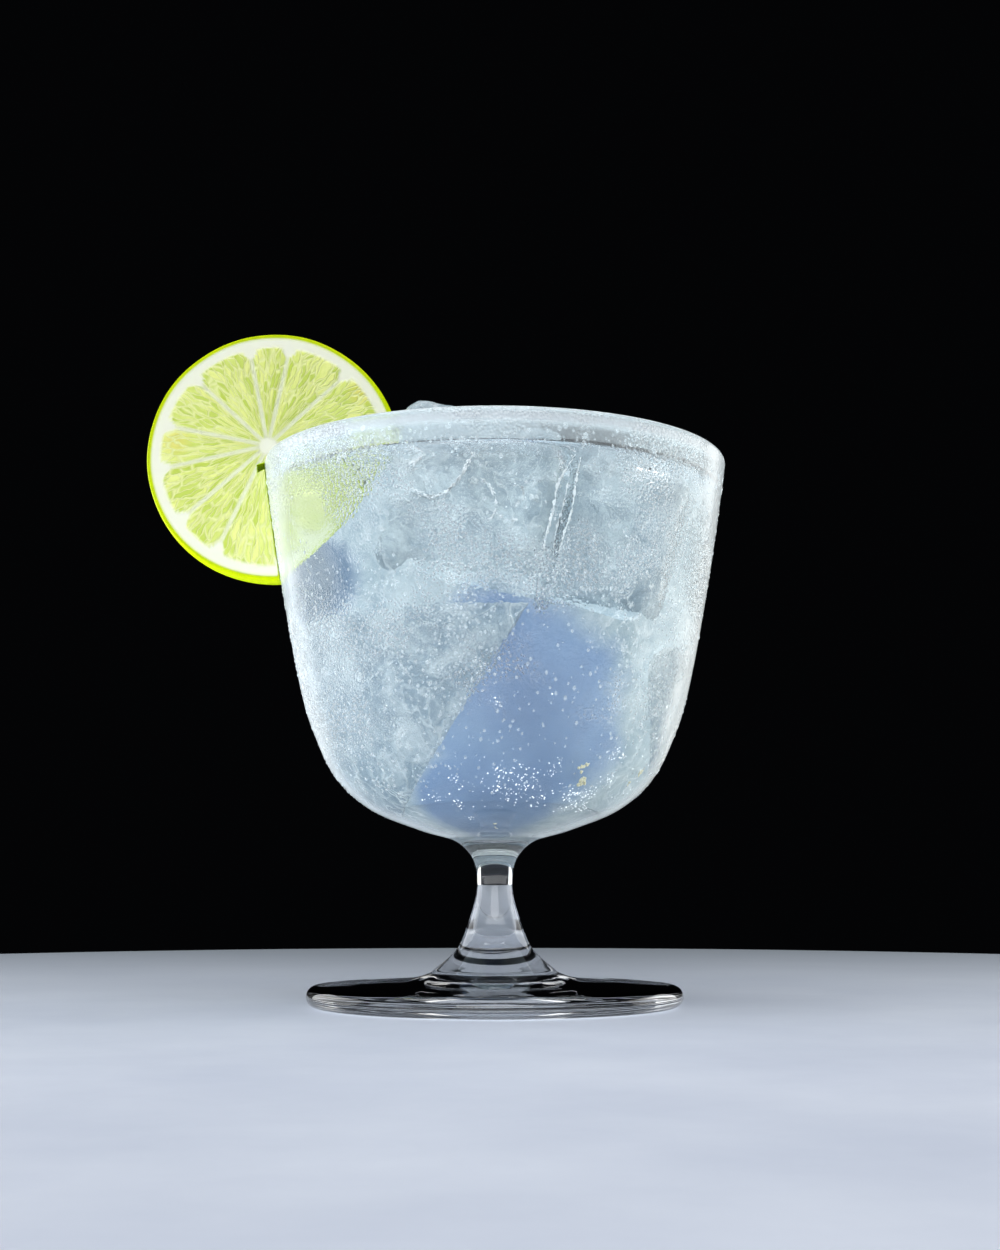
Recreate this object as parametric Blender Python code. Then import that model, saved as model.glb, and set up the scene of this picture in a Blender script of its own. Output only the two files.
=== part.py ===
"""A margarita on the rocks in its short-stemmed goblet, with a lime wheel on the rim.

Metres, +Z up. The origin is the centre of the foot's underside. +X is to the right of the
front view, and the front faces -Y. The goblet is one piece of blown glass. The drink fills
its bowl, cut round the ice and the lime. Three blocks of ice stand out of the drink.
"""

import math
import random

import bmesh
import bpy
from mathutils import Euler, Matrix, Vector

# The goblet
RIM_RADIUS = 0.0450
RIM_HEIGHT = 0.1044
RIM_BEAD = 0.00115
FOOT_RADIUS = 0.0355
FOOT_EDGE = 0.0038
STEM_RADIUS = 0.0033
WAIST_HEIGHT = 0.0226
BOWL_FLOOR = 0.0332
TURN_STEPS = 48

# What the bowl holds
DRINK_LEVEL = 0.0983
GAP = 0.0003
ICE_ROUNDING = 0.0042

# The lime wheel, cut to its middle and pushed down over the rim
LIME_RADIUS = 0.0249
LIME_THICKNESS = 0.0060
LIME_CENTRE = Vector((-0.0435, 0.0, 0.1056))
LIME_HUB = Vector((-0.0010, 0.0, 0.0021))
RIND = 0.0010
PITH = 0.0018
CORE = 0.0016
PULP_RISE = 0.00025
MEMBRANE = 0.00045
# Where each membrane meets the pith, in degrees anticlockwise from the right of the front view
MEMBRANE_ANGLES = (17, 49, 82, 103, 135, 164, 187, 216, 241, 276, 311, 343)

# Blocks of ice: name, centre, sides, and turns about X, Y and Z in degrees
ICE_BLOCKS = (
    ("ice_front", (-0.0057, -0.0192, 0.0906), (0.0290, 0.0280, 0.0330), (-4, 11, 6)),
    ("ice_right", (0.0212, -0.0140, 0.0848), (0.0222, 0.0222, 0.0294), (-3, 11, -4)),
    ("ice_back", (0.0010, 0.0200, 0.0880), (0.0262, 0.0262, 0.0302), (8, -9, 27)),
)


def clear_scene():
    for thing in list(bpy.data.objects):
        bpy.data.objects.remove(thing, do_unlink=True)


def material(name, colour, roughness, transmission=0.0):
    made = bpy.data.materials.new(name)
    made.use_nodes = True
    shader = made.node_tree.nodes["Principled BSDF"]
    shader.inputs["Base Color"].default_value = (*colour, 1.0)
    shader.inputs["Roughness"].default_value = roughness
    shader.inputs["Metallic"].default_value = 0.0
    shader.inputs["Transmission Weight"].default_value = transmission
    return made


def add_object(name, shape, finish):
    """A named object from a finished bmesh, with smooth sides and sharp corners."""
    bmesh.ops.recalc_face_normals(shape, faces=shape.faces)
    mesh = bpy.data.meshes.new(name)
    shape.to_mesh(mesh)
    shape.free()
    mesh.shade_smooth()
    mesh.set_sharp_from_angle(angle=math.radians(40))
    made = bpy.data.objects.new(name, mesh)
    if finish:
        mesh.materials.append(finish)
    bpy.context.scene.collection.objects.link(made)
    return made


def smooth_through(stations, steps):
    """Points on a Catmull-Rom curve through the stations, steps to each span."""
    ends = [stations[0], *stations, stations[-1]]
    points = []
    for before, start, end, after in zip(ends, ends[1:], ends[2:], ends[3:]):
        for step in range(steps):
            t = step / steps
            points.append(
                tuple(
                    0.5 * (2 * b + (c - a) * t + (2 * a - 5 * b + 4 * c - d) * t**2
                           + (3 * b - a - 3 * c + d) * t**3)
                    for a, b, c, d in zip(before, start, end, after)
                )
            )
    return [*points, stations[-1]]


def arc(centre, radius, start, end, steps):
    """Points round part of a circle in the profile's plane, with angles in degrees from outward."""
    turns = [math.radians(start + (end - start) * i / steps) for i in range(steps + 1)]
    return [(centre[0] + radius * math.cos(t), centre[1] + radius * math.sin(t)) for t in turns]


def turned(outline, steps=TURN_STEPS):
    """The closed solid that an outline of (radius, height) sweeps about Z. Its ends are on the axis."""
    shape = bmesh.new()
    rings = []
    for radius, height in outline:
        if radius < 1e-6:
            rings.append([shape.verts.new((0, 0, height))])
            continue
        angles = [2 * math.pi * i / steps for i in range(steps)]
        rings.append(
            [shape.verts.new((radius * math.cos(a), radius * math.sin(a), height)) for a in angles]
        )
    for lower, upper in zip(rings, rings[1:]):
        for i in range(steps):
            j = (i + 1) % steps
            corners = [lower[i % len(lower)], lower[j % len(lower)]]
            corners += [upper[j % len(upper)], upper[i % len(upper)]]
            shape.faces.new(list(dict.fromkeys(corners)))
    return shape


def foot_outline():
    """The foot: a flat underside, a rounded edge, and a top that sweeps up into the stem."""
    round_off = FOOT_EDGE / 2
    edge = arc((FOOT_RADIUS - round_off, round_off), round_off, -90, 75, 5)
    flare = [
        edge[-1],
        (0.0180, 0.0048),
        (0.0130, 0.0058),
        (0.0107, 0.0073),
        (0.0080, 0.0097),
        (0.0062, 0.0123),
        (0.0039, 0.0190),
        (STEM_RADIUS, WAIST_HEIGHT),
    ]
    return [(0.0, 0.0), *edge[:-1], *smooth_through(flare, 2)]


def bowl_outside():
    """From the stem's waist, out under the bowl, round its shoulder and up the flared side."""
    stations = [
        (STEM_RADIUS, WAIST_HEIGHT),
        (0.0036, 0.0257),
        (0.0048, 0.0284),
        (0.0078, 0.0309),
        (0.0145, 0.0329),
        (0.0236, 0.0366),
        (0.0302, 0.0424),
        (0.0343, 0.0502),
        (0.0374, 0.0598),
        (0.0414, 0.0800),
        (0.0441, 0.0970),
        (RIM_RADIUS, RIM_HEIGHT - RIM_BEAD),
    ]
    return smooth_through(stations, 2)[1:]


def bowl_inside():
    """The bowl's hollow from its floor up to the bead of the rim."""
    stations = [
        (0.0, BOWL_FLOOR),
        (0.0110, 0.0343),
        (0.0190, 0.0373),
        (0.0262, 0.0427),
        (0.0318, 0.0510),
        (0.0357, 0.0616),
        (0.0398, 0.0806),
        (0.0425, 0.0980),
        (RIM_RADIUS - 2 * RIM_BEAD, RIM_HEIGHT - RIM_BEAD),
    ]
    return smooth_through(stations, 2)


def goblet_outline():
    bead = arc((RIM_RADIUS - RIM_BEAD, RIM_HEIGHT - RIM_BEAD), RIM_BEAD, 0, 180, 6)
    return foot_outline() + bowl_outside()[:-1] + bead + bowl_inside()[::-1][1:]


def drink_outline():
    """The bowl's hollow less a gap, up to the level of the drink."""
    side = [
        (radius - GAP, height + GAP if radius < 0.02 else height)
        for radius, height in bowl_inside()
        if 0.001 < radius and height < DRINK_LEVEL - 0.001
    ]
    above = next(p for p in bowl_inside() if p[1] >= DRINK_LEVEL - 0.001)
    top_radius = side[-1][0] + (above[0] - GAP - side[-1][0]) * (DRINK_LEVEL - side[-1][1]) / (
        above[1] - side[-1][1]
    )
    return [(0.0, BOWL_FLOOR + GAP), *side, (top_radius, DRINK_LEVEL), (0.0, DRINK_LEVEL)]


def ice_shape(sides, rounding, seed, grow=0.0, cuts=5):
    """A block of ice with melted edges, a little narrower below, grown by grow."""
    shape = bmesh.new()
    bmesh.ops.create_cube(shape, size=2.0)
    bmesh.ops.subdivide_edges(shape, edges=shape.edges, cuts=cuts, use_grid_fill=True)
    halves = Vector(sides) / 2
    draw = random.Random(seed)
    taper, lean = draw.uniform(0.03, 0.07), draw.uniform(-0.03, 0.03)
    for vertex in shape.verts:
        # Grid lines are gathered towards the edges, where the block is round.
        flat = Vector([math.sin(c * math.pi / 2) * half for c, half in zip(vertex.co, halves)])
        core = Vector([max(-half + rounding, min(half - rounding, c))
                       for c, half in zip(flat, halves)])
        outward = (flat - core).normalized() if (flat - core).length > 1e-9 else Vector((0, 0, 0))
        place = core + outward * (rounding + grow)
        height = place.z / halves.z
        place.x *= 1 + taper * height
        place.y *= 1 + taper * height
        place.x += lean * halves.z * height
        vertex.co = place
    return shape


def block_matrix(centre, turns):
    return Matrix.Translation(centre) @ Euler([math.radians(t) for t in turns]).to_matrix().to_4x4()


def membrane_distance(angle):
    """Degrees from this angle to the nearest membrane, and the width of the segment that it is in."""
    degrees = math.degrees(angle) % 360
    marks = [*MEMBRANE_ANGLES, MEMBRANE_ANGLES[0] + 360]
    for low, high in zip(marks, marks[1:]):
        for turn in (degrees, degrees + 360):
            if low <= turn <= high:
                return min(turn - low, high - turn), high - low
    return 0.0, 30.0


def lime_angles():
    """Angles round the wheel: each membrane, its two sides, and points between them."""
    marks = [*MEMBRANE_ANGLES, MEMBRANE_ANGLES[0] + 360]
    shares = (0.0, 0.12, 0.5, 0.88)
    return [
        math.radians(low + (high - low) * share)
        for low, high in zip(marks, marks[1:])
        for share in shares
    ]


def lime_shape():
    """The wheel before its slit, standing in the XZ plane: rind, pith and raised segments of pulp."""
    pulp_edge = LIME_RADIUS - RIND - PITH
    radii = (CORE, 0.0035, 0.012, pulp_edge - 0.0010, pulp_edge, LIME_RADIUS - RIND * 0.6)
    shape = bmesh.new()
    angles = lime_angles()
    half = LIME_THICKNESS / 2

    def ring(radius, depth, raised):
        made = []
        for angle in angles:
            near, width = membrane_distance(angle)
            bare = math.degrees(MEMBRANE / max(radius, MEMBRANE * 2))
            rise = PULP_RISE if raised and near > min(bare, width * 0.1) else 0.0
            side = math.copysign(abs(depth) + rise, depth)
            # The segments meet at a hub that is off the wheel's middle.
            off = LIME_HUB * max(0.0, 1 - radius / pulp_edge)
            flat = Vector((radius * math.cos(angle), side, radius * math.sin(angle)))
            made.append(shape.verts.new(flat + off))
        return made

    def face_rings(side):
        middle = shape.verts.new(LIME_HUB + Vector((0, side * half, 0)))
        return middle, [ring(r, side * half, 0 < i < 4) for i, r in enumerate(radii)]

    front_middle, front = face_rings(-1)
    back_middle, back = face_rings(1)
    skin = ring(LIME_RADIUS, 1e-9, False)
    bevel_front = ring(LIME_RADIUS - 0.00015, -half * 0.72, False)
    bevel_back = ring(LIME_RADIUS - 0.00015, half * 0.72, False)
    around = [*front, bevel_front, skin, bevel_back, *back[::-1]]
    count = len(angles)
    for i in range(count):
        j = (i + 1) % count
        shape.faces.new((front_middle, front[0][i], front[0][j]))
        shape.faces.new((back_middle, back[0][j], back[0][i]))
        for inner, outer in zip(around, around[1:]):
            shape.faces.new((inner[i], outer[i], outer[j], inner[j]))
    return shape


def slit_shape():
    """The slit: the goblet's wall with a gap all round it, from the rim down past the wheel."""
    lowest = LIME_CENTRE.z - LIME_RADIUS - 0.003
    outside = [p for p in bowl_outside() if p[1] > lowest]
    inside = [p for p in bowl_inside() if p[1] > lowest]
    bead = arc((RIM_RADIUS - RIM_BEAD, RIM_HEIGHT - RIM_BEAD), RIM_BEAD + GAP, 70, 160, 4)
    # The knife went in a little outside the rim, so the slit's top end gapes there.
    mouth = [(RIM_RADIUS + 0.0014, RIM_HEIGHT - 0.0022), (RIM_RADIUS + 0.0016, RIM_HEIGHT - 0.0006)]
    # The wall curves away from the wheel's plane by a little on each side of it.
    curve = 0.00012
    outline = [(r + GAP, z) for r, z in outside[:-1]] + mouth + bead
    outline += [(r - GAP - curve, z) for r, z in inside[:-1][::-1]]
    shape = bmesh.new()
    depth = LIME_THICKNESS
    rows = [[shape.verts.new((-r, y, z)) for r, z in outline] for y in (-depth, depth)]
    shape.faces.new(rows[0])
    shape.faces.new(rows[1][::-1])
    for i in range(len(outline)):
        j = (i + 1) % len(outline)
        shape.faces.new((rows[0][j], rows[0][i], rows[1][i], rows[1][j]))
    return shape


def cut(body, cutter, name):
    """Takes a cutter away from a body and leaves the cutter as a hidden helper."""
    cutter.hide_render = True
    cutter.display_type = "WIRE"
    boolean = body.modifiers.new(name, "BOOLEAN")
    boolean.operation = "DIFFERENCE"
    boolean.object = cutter
    boolean.solver = "EXACT"


def make_goblet():
    finish = material("clear_glass", (0.95, 0.97, 0.98), 0.02, 1.0)
    return add_object("goblet", turned(goblet_outline()), finish)


def make_ice(finish):
    for seed, (name, centre, sides, turns) in enumerate(ICE_BLOCKS):
        block = add_object(name, ice_shape(sides, ICE_ROUNDING, seed), finish)
        block.matrix_world = block_matrix(centre, turns)


def make_lime():
    lime = add_object("lime_wheel", lime_shape(), material("lime", (0.62, 0.75, 0.25), 0.35))
    lime.location = LIME_CENTRE
    cut(lime, add_object("slit_cutter", slit_shape(), None), "slit")


def make_drink(finish):
    """The drink, with a hollow for each block of ice and for the part of the lime that dips in."""
    drink = add_object("drink", turned(drink_outline()), finish)
    for seed, (name, centre, sides, turns) in enumerate(ICE_BLOCKS):
        hollow = add_object(name + "_hollow", ice_shape(sides, ICE_ROUNDING, seed, GAP), None)
        hollow.matrix_world = block_matrix(centre, turns)
        cut(drink, hollow, name)
    reach = LIME_RADIUS + GAP
    dip = bmesh.new()
    bmesh.ops.create_cone(
        dip, cap_ends=True, segments=TURN_STEPS, radius1=reach, radius2=reach,
        depth=LIME_THICKNESS + 2 * (GAP + PULP_RISE),
    )
    hollow = add_object("lime_hollow", dip, None)
    hollow.matrix_world = Matrix.Translation(LIME_CENTRE) @ Matrix.Rotation(math.pi / 2, 4, "X")
    cut(drink, hollow, "lime")


def main():
    clear_scene()
    make_goblet()
    make_ice(material("ice", (0.86, 0.91, 0.94), 0.15, 0.6))
    make_lime()
    make_drink(material("margarita", (0.55, 0.66, 0.78), 0.1, 0.5))


main()
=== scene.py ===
import math
import random

import bmesh
import bpy
import numpy as np
from mathutils import Euler, Matrix, Vector, noise


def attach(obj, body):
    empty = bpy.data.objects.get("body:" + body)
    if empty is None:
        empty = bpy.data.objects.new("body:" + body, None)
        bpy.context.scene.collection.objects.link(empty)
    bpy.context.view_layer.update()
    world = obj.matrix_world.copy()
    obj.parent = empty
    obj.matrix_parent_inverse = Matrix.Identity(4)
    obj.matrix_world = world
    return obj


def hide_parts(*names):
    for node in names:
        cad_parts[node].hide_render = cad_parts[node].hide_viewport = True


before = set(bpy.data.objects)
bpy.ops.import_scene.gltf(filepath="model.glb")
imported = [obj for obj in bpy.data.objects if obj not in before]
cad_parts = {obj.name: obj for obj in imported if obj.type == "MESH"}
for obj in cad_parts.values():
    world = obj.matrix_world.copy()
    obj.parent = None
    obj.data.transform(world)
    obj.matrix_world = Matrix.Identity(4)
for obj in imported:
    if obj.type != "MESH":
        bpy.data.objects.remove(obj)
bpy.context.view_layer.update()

# Camera, floor and light. The camera stands low in front and looks up a little. The floor is
# pale, painted darker towards the back as painted shade, and ends in the dark. Soft light comes
# from broad panels overhead, in front and at both sides, small low ones at both sides, and two on
# the floor that light the bowl from below.
camera_data = bpy.data.cameras.new("front_camera")
camera_data.lens = 50.26
camera_data.sensor_width = 36.0
camera_data.clip_start = 0.01
camera = bpy.data.objects.new("front_camera", camera_data)
camera.location = (0.0010, -0.3362, 0.02354)
looks_up = 8.298
camera.rotation_euler = (math.radians(90 + looks_up), 0, 0)
bpy.context.scene.collection.objects.link(camera)
bpy.context.scene.camera = camera
bpy.context.scene.view_settings.view_transform = "Standard"
bpy.context.scene.cycles.use_denoising = True
bpy.context.scene.cycles.max_bounces = 16
bpy.context.scene.cycles.transmission_bounces = 14
bpy.context.scene.cycles.transparent_max_bounces = 24
bpy.context.scene.cycles.sample_clamp_indirect = 6.0
bpy.context.scene.cycles.caustics_reflective = False


def colour(red, green, blue):
    """A screen colour, 0 to 255 a channel, as the shader's linear one."""
    def linear(level):
        share = level / 255
        return share / 12.92 if share < 0.04045 else ((share + 0.055) / 1.055) ** 2.4
    return (linear(red), linear(green), linear(blue), 1.0)


def new_material(name):
    """An empty node material, with its tree and a function that adds a node and sets its inputs."""
    made = bpy.data.materials.new(name)
    made.use_nodes = True
    tree = made.node_tree
    tree.nodes.clear()

    def add(kind, inputs=None, **settings):
        node = tree.nodes.new("ShaderNode" + kind)
        for key, value in settings.items():
            setattr(node, key, value)
        for key, value in (inputs or {}).items():
            if isinstance(value, bpy.types.NodeSocket):
                tree.links.new(value, node.inputs[key])
            else:
                node.inputs[key].default_value = value
        return node

    return made, add


def spread(add, value, low, high, to_low=0.0, to_high=1.0):
    """A value, held between low and high and spread over another range."""
    return add("MapRange", {"Value": value, "From Min": low, "From Max": high,
                            "To Min": to_low, "To Max": to_high}).outputs["Result"]


def blend(add, share, first, second):
    """A colour that goes from the first to the second."""
    return add("Mix", {"Factor": share, "A": first, "B": second},
               data_type="RGBA").outputs["Result"]


def mesh_piece(name, points, faces, finish, smooth=True):
    """A piece of the scene from its points and faces."""
    mesh = bpy.data.meshes.new(name)
    mesh.from_pydata([tuple(p) for p in points], [], [tuple(f) for f in faces])
    mesh.update()
    if smooth:
        mesh.shade_smooth()
    mesh.materials.append(finish)
    made = bpy.data.objects.new(name, mesh)
    bpy.context.scene.collection.objects.link(made)
    return made


def finish_floor():
    made, add = new_material("pale_floor")
    place = add("TexCoord").outputs["Object"]
    mottle = add("TexNoise", {"Vector": place, "Scale": 18.0, "Detail": 5.0, "Roughness": 0.6})
    tint = add("ValToRGB", {"Fac": mottle.outputs["Fac"]})
    tint.color_ramp.elements[0].position = 0.3
    tint.color_ramp.elements[0].color = colour(196, 203, 219)
    tint.color_ramp.elements[1].position = 0.7
    tint.color_ramp.elements[1].color = colour(212, 218, 231)
    # Painted shade: the floor's colour darkens towards the back.
    away = add("SeparateXYZ", {"Vector": place}).outputs["Y"]
    back = spread(add, away, -0.12, 0.26)
    shaded = blend(add, back, tint.outputs["Color"], colour(150, 158, 168))
    paint = add("BsdfPrincipled", {"Base Color": shaded, "Roughness": 0.7})
    add("OutputMaterial", {"Surface": paint.outputs["BSDF"]})
    return made


floor_radius, floor_steps, floor_level = 0.285, 96, -0.0002
floor_points = [(0.0, 0.0, floor_level)]
for ring in (0.1, 0.2, floor_radius):
    for i in range(floor_steps):
        turn = 2 * math.pi * i / floor_steps
        floor_points.append((ring * math.cos(turn), ring * math.sin(turn), floor_level))
floor_faces = [(0, 1 + i, 1 + (i + 1) % floor_steps) for i in range(floor_steps)]
for start in (1, 1 + floor_steps):
    for i in range(floor_steps):
        a, b = start + i, start + (i + 1) % floor_steps
        floor_faces.append((a, a + floor_steps, b + floor_steps, b))
floor = mesh_piece("pale_floor", floor_points, floor_faces, finish_floor())

world = bpy.data.worlds.new("dark_studio")
world.use_nodes = True
world.node_tree.nodes["Background"].inputs["Color"].default_value = (0.0012, 0.0013, 0.0016, 1.0)
bpy.context.scene.world = world


def soft_light(name, place, aim, width, height, watts, tint, mirrored=True):
    """A soft panel of light, which glass mirrors or not."""
    lamp = bpy.data.lights.new(name, "AREA")
    lamp.shape = "RECTANGLE"
    lamp.size = width
    lamp.size_y = height
    lamp.energy = watts
    lamp.color = tint
    made = bpy.data.objects.new(name, lamp)
    made.location = place
    made.rotation_euler = (Vector(aim) - Vector(place)).to_track_quat("-Z", "Y").to_euler()
    made.visible_camera = False
    made.visible_glossy = mirrored
    made.visible_transmission = mirrored
    bpy.context.scene.collection.objects.link(made)
    return made


soft_light("overhead_panel", (0.0, -0.12, 0.62), (0, 0, 0.05), 0.7, 0.6, 3.7, (0.96, 0.98, 1.0))
soft_light("front_panel", (0.0, -0.85, 0.34), (0, 0, 0.07), 0.7, 0.5, 3.2, (0.97, 0.98, 1.0))
soft_light("left_panel", (-0.46, 0.20, 0.10), (0, 0, 0.05), 0.5, 0.4, 1.15, (0.96, 0.98, 1.0))
soft_light("right_panel", (0.46, 0.20, 0.10), (0, 0, 0.05), 0.5, 0.4, 1.0, (1.0, 0.99, 0.97))
soft_light("low_left_fill", (-0.27, -0.06, 0.020), (0, 0, 0.045), 0.16, 0.04, 0.26,
           (0.94, 0.98, 1.0), False)
soft_light("low_right_fill", (0.27, 0.04, 0.020), (0, 0, 0.045), 0.16, 0.04, 0.17,
           (1.0, 0.97, 0.86), False)
soft_light("left_reflector", (-0.078, -0.015, 0.004), (-0.078, -0.015, 0.1), 0.03, 0.05, 0.05,
           (0.97, 0.99, 1.0), False)
soft_light("right_reflector", (0.078, -0.015, 0.004), (0.078, -0.015, 0.1), 0.03, 0.05, 0.042,
           (1.0, 0.97, 0.88), False)

# The goblet: one piece of blown glass, a bowl on a short drawn stem and a flat foot. The rim is
# melted to a rounded bead. Over the drink the cold has fogged it and set beads of dew on it.
rim_radius, rim_height, rim_bead = 0.0450, 0.1044, 0.00115
foot_radius, foot_edge = 0.0355, 0.0038
stem_radius, waist_height, bowl_floor = 0.0033, 0.0226, 0.0332


def smooth_through(stations, steps):
    """Points on a smooth curve through the stations, steps to each span."""
    ends = [stations[0], *stations, stations[-1]]
    points = []
    for before, start, end, after in zip(ends, ends[1:], ends[2:], ends[3:]):
        for step in range(steps):
            t = step / steps
            points.append(
                tuple(
                    0.5 * (2 * b + (c - a) * t + (2 * a - 5 * b + 4 * c - d) * t**2
                           + (3 * b - a - 3 * c + d) * t**3)
                    for a, b, c, d in zip(before, start, end, after)
                )
            )
    return [*points, stations[-1]]


def arc(centre, radius, start, end, steps):
    """Points round part of a circle, with angles in degrees from outward."""
    turns = [math.radians(start + (end - start) * i / steps) for i in range(steps + 1)]
    return [(centre[0] + radius * math.cos(t), centre[1] + radius * math.sin(t)) for t in turns]


foot_line = arc((foot_radius - foot_edge / 2, foot_edge / 2), foot_edge / 2, -90, 75, 14)
flare_line = smooth_through(
    [foot_line[-1], (0.0180, 0.0048), (0.0130, 0.0058), (0.0107, 0.0073), (0.0080, 0.0097),
     (0.0062, 0.0123), (0.0039, 0.0190), (stem_radius, waist_height)],
    7,
)
outside_line = smooth_through(
    [(stem_radius, waist_height), (0.0036, 0.0257), (0.0048, 0.0284), (0.0078, 0.0309),
     (0.0145, 0.0329), (0.0236, 0.0366), (0.0302, 0.0424), (0.0343, 0.0502), (0.0374, 0.0598),
     (0.0414, 0.0800), (0.0441, 0.0970), (rim_radius, rim_height - rim_bead)],
    8,
)
bead_line = arc((rim_radius - rim_bead, rim_height - rim_bead), rim_bead, 0, 180, 16)
inside_line = smooth_through(
    [(0.0, bowl_floor), (0.0110, 0.0343), (0.0190, 0.0373), (0.0262, 0.0427), (0.0318, 0.0510),
     (0.0357, 0.0616), (0.0398, 0.0806), (0.0425, 0.0980),
     (rim_radius - 2 * rim_bead, rim_height - rim_bead)],
    8,
)


def line_radius(line, height):
    """The radius of an outline at a height, between its points."""
    heights = [p[1] for p in line]
    return float(np.interp(height, heights, [p[0] for p in line]))


def turned_piece(name, outline, steps, finish):
    """The skin that an outline of (radius, height) sweeps about the goblet's axis."""
    points, rings = [], []
    for radius, height in outline:
        start = len(points)
        if radius < 1e-6:
            points.append((0.0, 0.0, height))
            rings.append([start] * steps)
            continue
        for i in range(steps):
            turn = 2 * math.pi * i / steps
            points.append((radius * math.cos(turn), radius * math.sin(turn), height))
        rings.append(list(range(start, start + steps)))
    faces = []
    for lower, upper in zip(rings, rings[1:]):
        for i in range(steps):
            j = (i + 1) % steps
            faces.append(tuple(dict.fromkeys((lower[i], lower[j], upper[j], upper[i]))))
    return mesh_piece(name, points, faces, finish)


def calc(add, operation, *values, clamp=False):
    """The result of one operation on values."""
    return add("Math", dict(enumerate(values)), operation=operation, use_clamp=clamp).outputs[0]


def through_light(add, shader):
    """Lets lamp light through a clear piece, so that it lights what stands inside."""
    clear = add("BsdfTransparent", {"Color": (0.985, 0.99, 0.995, 1.0)})
    ray = add("LightPath")
    mix = add("MixShader", {0: ray.outputs["Is Shadow Ray"], 1: shader, 2: clear.outputs["BSDF"]})
    add("OutputMaterial", {"Surface": mix.outputs["Shader"]})


def finish_bare_glass():
    made, add = new_material("bare_glass")
    place = add("TexCoord").outputs["Object"]
    ripple = add("TexNoise", {"Vector": place, "Scale": 70.0, "Detail": 1.0})
    bump = add("Bump", {"Height": ripple.outputs["Fac"], "Strength": 0.12, "Distance": 0.002})
    glass = add(
        "BsdfPrincipled",
        {"Base Color": (0.97, 0.985, 0.99, 1.0), "Roughness": 0.0, "IOR": 1.5,
         "Transmission Weight": 1.0, "Normal": bump.outputs["Normal"]},
    )
    through_light(add, glass.outputs["BSDF"])
    return made


def finish_fogged_glass():
    made, add = new_material("fogged_glass")
    place = add("TexCoord").outputs["Object"]
    height = add("SeparateXYZ", {"Vector": place}).outputs["Z"]
    level = spread(add, height, 0.030, 0.1044)
    fog = add("ValToRGB", {"Fac": level})
    ramp = fog.color_ramp
    ramp.elements[0].position = 0.0
    ramp.elements[0].color = (0.03, 0.03, 0.03, 1.0)
    ramp.elements[1].position = 1.0
    ramp.elements[1].color = (0.42, 0.42, 0.42, 1.0)
    for position, amount in ((0.1, 0.03), (0.3, 0.1), (0.78, 0.11), (0.89, 0.17), (0.93, 0.30),
                             (0.957, 0.34), (0.970, 0.92), (0.980, 0.92), (0.990, 0.42)):
        ramp.elements.new(position).color = (amount, amount, amount, 1.0)
    patches = add("TexNoise", {"Vector": place, "Scale": 55.0, "Detail": 3.0, "Roughness": 0.55})
    patchy = spread(add, patches.outputs["Fac"], 0.3, 0.7, 0.7, 1.3)
    edge = add("LayerWeight", {"Blend": 0.35}).outputs["Facing"]
    steep = spread(add, edge, 0.4, 1.0, 1.0, 3.0)
    level_film = calc(add, "MULTIPLY", fog.outputs["Color"], patchy)
    rim_from = spread(add, height, 0.038, 0.052, 0.60, 0.44)
    rim_to = spread(add, height, 0.038, 0.052, 0.88, 0.8)
    rim = spread(add, edge, rim_from, rim_to, 0.0, 0.9)
    film = calc(add, "MULTIPLY_ADD", level_film, steep, rim)
    beads = add(
        "TexVoronoi", {"Vector": place, "Scale": 1700.0, "Randomness": 0.9, "Smoothness": 0.3},
        feature="SMOOTH_F1",
    )
    domes = spread(add, beads.outputs["Distance"], 0.1, 0.65, 1.0, 0.0)
    wet = spread(add, patches.outputs["Fac"], 0.45, 0.58, 0.08, 1.0)
    dry = spread(add, height, 0.042, 0.052)
    damp = calc(add, "MULTIPLY", wet, dry)
    relief = calc(add, "MULTIPLY", domes, damp)
    beaded = calc(add, "MULTIPLY_ADD", relief, 0.3, film)
    clear = calc(add, "SUBTRACT", 1.0, beaded, clamp=True)
    bump = add("Bump", {"Height": relief, "Strength": 1.0, "Distance": 0.0003})
    high = spread(add, height, 0.0950, 0.0995)
    tint = blend(add, high, (0.92, 0.975, 0.985, 1.0), (0.84, 0.92, 0.95, 1.0))
    glass = add(
        "BsdfPrincipled",
        {"Base Color": tint, "Roughness": 0.03, "IOR": 1.45,
         "Transmission Weight": clear, "Normal": bump.outputs["Normal"],
         "Sheen Weight": 0.35, "Sheen Roughness": 0.3, "Sheen Tint": (0.85, 0.96, 1.0, 1.0)},
    )
    through_light(add, glass.outputs["BSDF"])
    return made


goblet_line = [(0.0, 0.0), *foot_line[:-1], *flare_line, *outside_line[1:-1], *bead_line,
               *inside_line[::-1][1:]]
goblet = turned_piece("goblet_glass", goblet_line, 160, finish_bare_glass())
goblet.data.materials.append(finish_fogged_glass())
misted_from = 0.0990
for face in goblet.data.polygons:
    middle = face.center
    outward = math.hypot(middle.x, middle.y) > line_radius(outside_line, middle.z) - 0.0004
    if middle.z > 0.0315 and (outward or middle.z > misted_from):
        face.material_index = 1
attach(goblet, "root")
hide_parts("goblet")

# The ice: blocks from a tray, melted round at the edges. Three stand out of the drink and three
# are wholly sunk in it. They are clear at the skin and cloudy and cracked inside.
ice_rounding = 0.0042
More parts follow.
